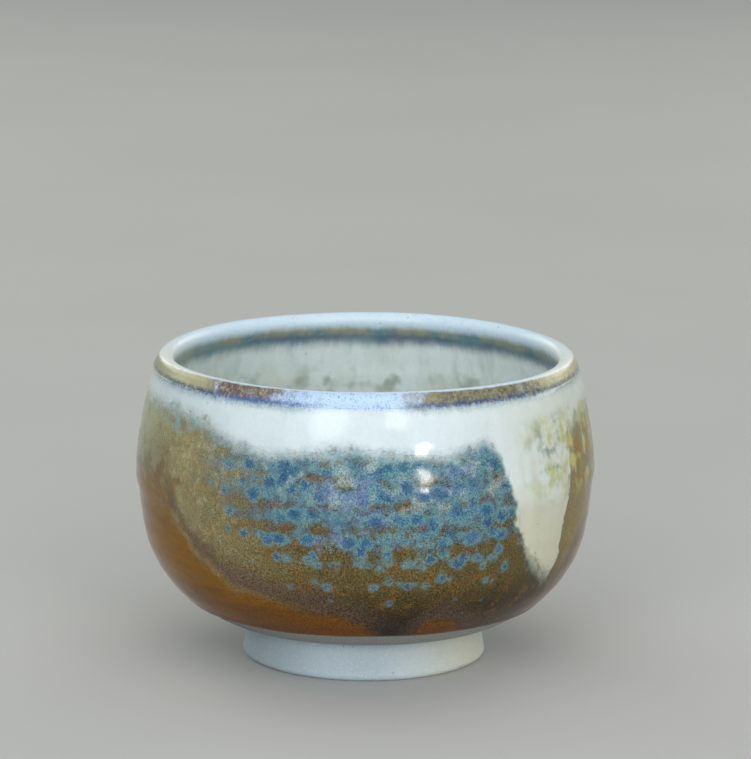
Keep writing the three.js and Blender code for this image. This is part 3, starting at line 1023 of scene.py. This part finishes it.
class BOWL_OT_inside_coat(bpy.types.Operator):
    """Grey-white glaze in the well and up to the dipped rim"""

    bl_idname = "bowl.inside_coat"
    bl_label = "Inside coat"

    def execute(self, context):
        sizes, colours = context.scene.bowl_sizes, context.scene.bowl_colours
        section = Section(sizes)
        outline = np.vstack([at_depth(coarse(section.well), TINY),
                             at_depth(section.well, sizes.coat)[::-1]])

        def spiral(radii, heights, azimuth):
            """Finger spiral in the floor, which the glaze softens."""
            turn = np.radians(azimuth)
            groove = np.sin(2 * math.pi * radii / (6.5 * MM) - turn)
            near = smooth(2 * MM, 6 * MM, radii) * (1 - smooth(24 * MM, 32 * MM, radii))
            low = heights < section.floor_height + 4 * MM
            glazed = heights > section.floor_height - section.pool(radii) + sizes.coat / 2
            return radii, heights + 0.12 * MM * (1 + groove) * near * low * glazed

        graph = Graph("inside_glaze")
        material = glaze_finish(graph, inside_colour(graph, colours), INSIDE_GLOSS)
        turned_piece("inside_coat", outline, sizes, material, "inner_glaze",
                     closed=False, relief=spiral)
        return {"FINISHED"}


class BOWL_OT_amber_coat(bpy.types.Operator):
    """Iron glaze on the outside, with its rolled lower edge"""

    bl_idname = "bowl.amber_coat"
    bl_label = "Amber coat"

    def execute(self, context):
        sizes, colours = context.scene.bowl_sizes, context.scene.bowl_colours
        section = Section(sizes)
        run = section.coated
        along = np.concatenate(
            [[0], np.cumsum(np.linalg.norm(np.diff(run[:, :2], axis=0), axis=1))])
        roll = 0.5 * np.exp(-((along - 1.1 * MM) / (0.9 * MM)) ** 2)
        thin = 1 - smooth(0, 0.9 * MM, along)
        depth = sizes.coat * (thin * 0.9 - roll * (1 - thin))
        outline = np.vstack([at_depth(run, depth),
                             at_depth(coarse(run), sizes.coat - TINY)[::-1]])

        def creep(radii, heights, azimuth):
            """The glaze line wanders a little where the glaze crept or ran."""
            turn = np.radians(azimuth)
            wander = 0.35 * np.sin(3 * turn + 0.4) + 0.2 * np.sin(8 * turn + 1.7)
            wander = wander + 0.12 * np.sin(17 * turn)
            line = bottom_of("outer_glaze")
            near = 1 - smooth(line, line + 5 * MM, heights)
            return radii + wander * near * 0.9 * MM, heights + wander * near * 0.55 * MM

        material = outer_glaze_material(
            colours, "amber_glaze", AMBER_GLOSS, AMBER_INDEX)
        turned_piece("amber_coat", outline, sizes, material, "outer_glaze",
                     relief=creep)
        return {"FINISHED"}


class BOWL_OT_white_pour(bpy.types.Operator):
    """White glaze poured over the amber, thinning out at its ragged edge"""

    bl_idname = "bowl.white_pour"
    bl_label = "White pour"

    def execute(self, context):
        sizes, colours = context.scene.bowl_sizes, context.scene.bowl_colours
        section = Section(sizes)
        columns = COLUMNS * 3 // 2
        azimuth = azimuths(columns)
        low, high = bottom_of("outer_glaze"), top_of("outer_glaze")
        edge = low + (high - low) * round_value(POUR_EDGE, azimuth) / 100
        turn = np.radians(azimuth)
        edge = edge + 0.5 * MM * np.sin(11 * turn) + 0.35 * MM * np.sin(23 * turn + 1)
        edge = np.minimum(edge, high - 3 * MM)
        rows = 44
        share = np.linspace(0, 1, rows)[:, None] ** 1.15
        heights = edge + (high - edge) * share
        run = section.coated
        radii = np.interp(heights, run[:, 1], run[:, 0])
        facing = np.stack([np.interp(heights, run[:, 1], run[:, k]) for k in (2, 3)])
        gap = self.edge_distance(azimuth, edge, heights, radii)
        thick = sizes.pour_coat * smooth(0, sizes.pour_taper, gap)
        bead = np.exp(-((gap - 1.4 * MM) / (0.9 * MM)) ** 2) * smooth(45 * MM, 30 * MM,
                                                                    heights)
        thick = thick + 0.12 * MM * bead + TINY
        outer = [radii + facing[0] * thick, heights + facing[1] * thick]
        back = slice(None, None, 6)
        inner = [radii + facing[0] * TINY / 2, heights + facing[1] * TINY / 2]
        keep = sorted({*range(rows)[back], rows - 1}, reverse=True)
        radii = np.vstack([outer[0], inner[0][keep]])
        heights = np.vstack([outer[1], inner[1][keep]])
        radii, heights = thrown(radii, heights, azimuth, sizes)
        vertices, faces = turned_mesh(radii, heights, azimuth)
        material = outer_glaze_material(
            colours, "white_glaze", WHITE_GLOSS, WHITE_INDEX)
        new_piece("white_pour", vertices, faces, material, "white_glaze")
        return {"FINISHED"}

    @staticmethod
    def edge_distance(azimuth, edge, heights, radii):
        """Distance from each point of the pour to its lower edge."""
        reach = round(8 * len(azimuth) / 360)
        best = np.full(heights.shape, 1.0)
        for shift in range(-reach, reach + 1):
            sideways = radii * math.radians(shift * 360 / len(azimuth))
            drop = np.maximum(heights - np.roll(edge, -shift), 0)
            best = np.minimum(best, np.hypot(sideways, drop))
        return best


class BOWL_OT_dipped_rim(bpy.types.Operator):
    """Glaze dipped over the lip, with soft lower edges on both sides"""

    bl_idname = "bowl.dipped_rim"
    bl_label = "Dipped rim"

    def execute(self, context):
        sizes, colours = context.scene.bowl_sizes, context.scene.bowl_colours
        section = Section(sizes, FINE / 2)
        over = sizes.rim_coat - sizes.coat
        soft = 1.2 * MM
        out, back = section.rim_out, section.rim_in
        reach = out[:, 1] - out[0, 1]
        outside = at_depth(out, -over * smooth(0, soft, reach) - sizes.pour_coat
                           * smooth(2 * soft, 0, reach))
        inward = back[:, 1] - back[0, 1]
        inside = at_depth(back, sizes.coat + over * smooth(0, soft, inward))
        outline = np.vstack([
            outside, section.cap(section.lip_radius + sizes.rim_coat, 18), inside[::-1],
            at_depth(back, TINY), section.cap(section.lip_radius + TINY, 8)[::-1],
            at_depth(out, sizes.coat - TINY)[::-1]])
        turned_piece("dipped_rim", outline, sizes, rim_material(colours), "rim_glaze")
        return {"FINISHED"}


class BOWL_OT_stage(bpy.types.Operator):
    """Plain pale floor, soft lights and the camera"""

    bl_idname = "bowl.stage"
    bl_label = "Stage"

    def execute(self, context):
        scene = context.scene
        settings = scene.bowl_stage
        self.make_floor(settings, scene.bowl_colours)
        self.make_world(scene)
        middle = Vector((0, 0, top_of("rim_glaze") / 2))
        # name, azimuth, elevation, distance, width, height, power, colour
        lights = (
            ("overhead_softbox", -20, 75, 1.1, 1.3, 1.3, 3.4, (1.0, 0.985, 0.96)),
            ("front_softbox", 4, 38, 1.3, 1.8, 0.7, 7.2, (0.97, 0.99, 1.0)),
            ("left_softbox", -19, 17, 1.3, 0.44, 0.34, 3.0, (0.95, 0.98, 1.0)),
            ("right_softbox", 17, 20, 1.3, 0.22, 0.30, 1.5, (1.0, 0.98, 0.95)),
            ("window_glint", 29, 3, 1.3, 0.075, 0.17, 3.2, (1.0, 0.97, 0.93)),
            ("left_back_softbox", -138, 24, 1.5, 1.2, 0.62, 5.6, (0.94, 1.0, 0.82)),
            ("right_back_softbox", 136, 24, 1.5, 1.2, 0.62, 5.4, (1.0, 0.98, 0.86)),
        )
        for light in lights:
            self.make_light(scene, middle, *light)
        self.make_camera(scene, settings, middle)
        return {"FINISHED"}

    @staticmethod
    def make_floor(settings, colours):
        half = settings.floor_size / 2
        mesh = bpy.data.meshes.new("floor")
        corners = [(-half, -half, 0), (half, -half, 0), (half, half, 0), (-half, half, 0)]
        mesh.from_pydata(corners, [], [(0, 1, 2, 3)])
        floor = bpy.data.objects.new("floor", mesh)
        bpy.context.scene.collection.objects.link(floor)
        graph = Graph("floor_paint")
        tone = graph.mix(graph.noise(120, 2).step(-0.2, 0.2), colours.floor,
                         toned(colours.floor, 0.975))
        rough = 0.65 + graph.noise(4, 2) * 0.1
        tooth = graph.bump(graph.noise(0.9, 2), 0.02 * MM)
        mesh.materials.append(graph.finish(tone, rough, tooth))

    @staticmethod
    def make_world(scene):
        world = bpy.data.worlds.new("studio")
        world.use_nodes = True
        sky = world.node_tree.nodes["Background"]
        sky.inputs["Color"].default_value = (0.86, 0.92, 1.0, 1)
        sky.inputs["Strength"].default_value = 0.33
        scene.world = world
        scene.view_settings.view_transform = "Standard"
        scene.view_settings.look = "None"

    @staticmethod
    def make_light(scene, middle, name, azimuth, elevation, distance, width, height,
                   power, tint):
        light = bpy.data.lights.new(name, "AREA")
        light.shape = "RECTANGLE"
        light.size = width
        light.size_y = height
        light.energy = power
        light.color = tint
        lamp = bpy.data.objects.new(name, light)
        scene.collection.objects.link(lamp)
        turn, rise = math.radians(azimuth), math.radians(elevation)
        back = Vector((math.sin(turn) * math.cos(rise), -math.cos(turn) * math.cos(rise),
                       math.sin(rise)))
        lamp.location = middle + back * distance
        lamp.rotation_euler = (-back).to_track_quat("-Z", "Y").to_euler()
        lamp.visible_camera = False

    @staticmethod
    def make_camera(scene, settings, middle):
        camera = bpy.data.cameras.new("camera")
        camera.lens = settings.lens
        camera.clip_start, camera.clip_end = 0.05, 50
        eye = bpy.data.objects.new("camera", camera)
        scene.collection.objects.link(eye)
        tilt = settings.elevation
        back = Vector((0, -math.cos(tilt), math.sin(tilt)))
        up = Vector((0, math.sin(tilt), math.cos(tilt)))
        place = middle + back * settings.distance
        aim = middle + up * settings.rise + Vector((1, 0, 0)) * settings.aside
        facing = (aim - place).to_track_quat("-Z", "Y")
        lean = Matrix.Rotation(settings.roll, 4, "Z")
        eye.matrix_world = Matrix.Translation(place) @ facing.to_matrix().to_4x4() @ lean
        scene.camera = eye


OPERATORS = (BOWL_OT_clay_body, BOWL_OT_foot_ring, BOWL_OT_inside_coat,
             BOWL_OT_amber_coat, BOWL_OT_white_pour, BOWL_OT_dipped_rim, BOWL_OT_stage)


class BOWL_PT_panel(bpy.types.Panel):
    """Lists the bowl's operators and sizes"""

    bl_label = "Matcha Bowl"
    bl_idname = "BOWL_PT_panel"
    bl_space_type = "VIEW_3D"
    bl_region_type = "UI"
    bl_category = "Bowl"

    def draw(self, context):
        for operator in OPERATORS:
            self.layout.operator(operator.bl_idname)
        for group in (context.scene.bowl_sizes, context.scene.bowl_colours,
                      context.scene.bowl_stage):
            box = self.layout.box()
            for name in group.__annotations__:
                box.prop(group, name)


CLASSES = (BowlSizes, BowlColours, StageSettings, *OPERATORS, BOWL_PT_panel)


def register():
    for cls in CLASSES:
        bpy.utils.register_class(cls)
    bpy.types.Scene.bowl_sizes = PointerProperty(type=BowlSizes)
    bpy.types.Scene.bowl_colours = PointerProperty(type=BowlColours)
    bpy.types.Scene.bowl_stage = PointerProperty(type=StageSettings)


def unregister():
    for name in ("bowl_sizes", "bowl_colours", "bowl_stage"):
        delattr(bpy.types.Scene, name)
    for cls in reversed(CLASSES):
        bpy.utils.unregister_class(cls)


def main():
    register()
    for operator in OPERATORS:
        group, name = operator.bl_idname.split(".")
        getattr(getattr(bpy.ops, group), name)()


if __name__ == "__main__":
    main()
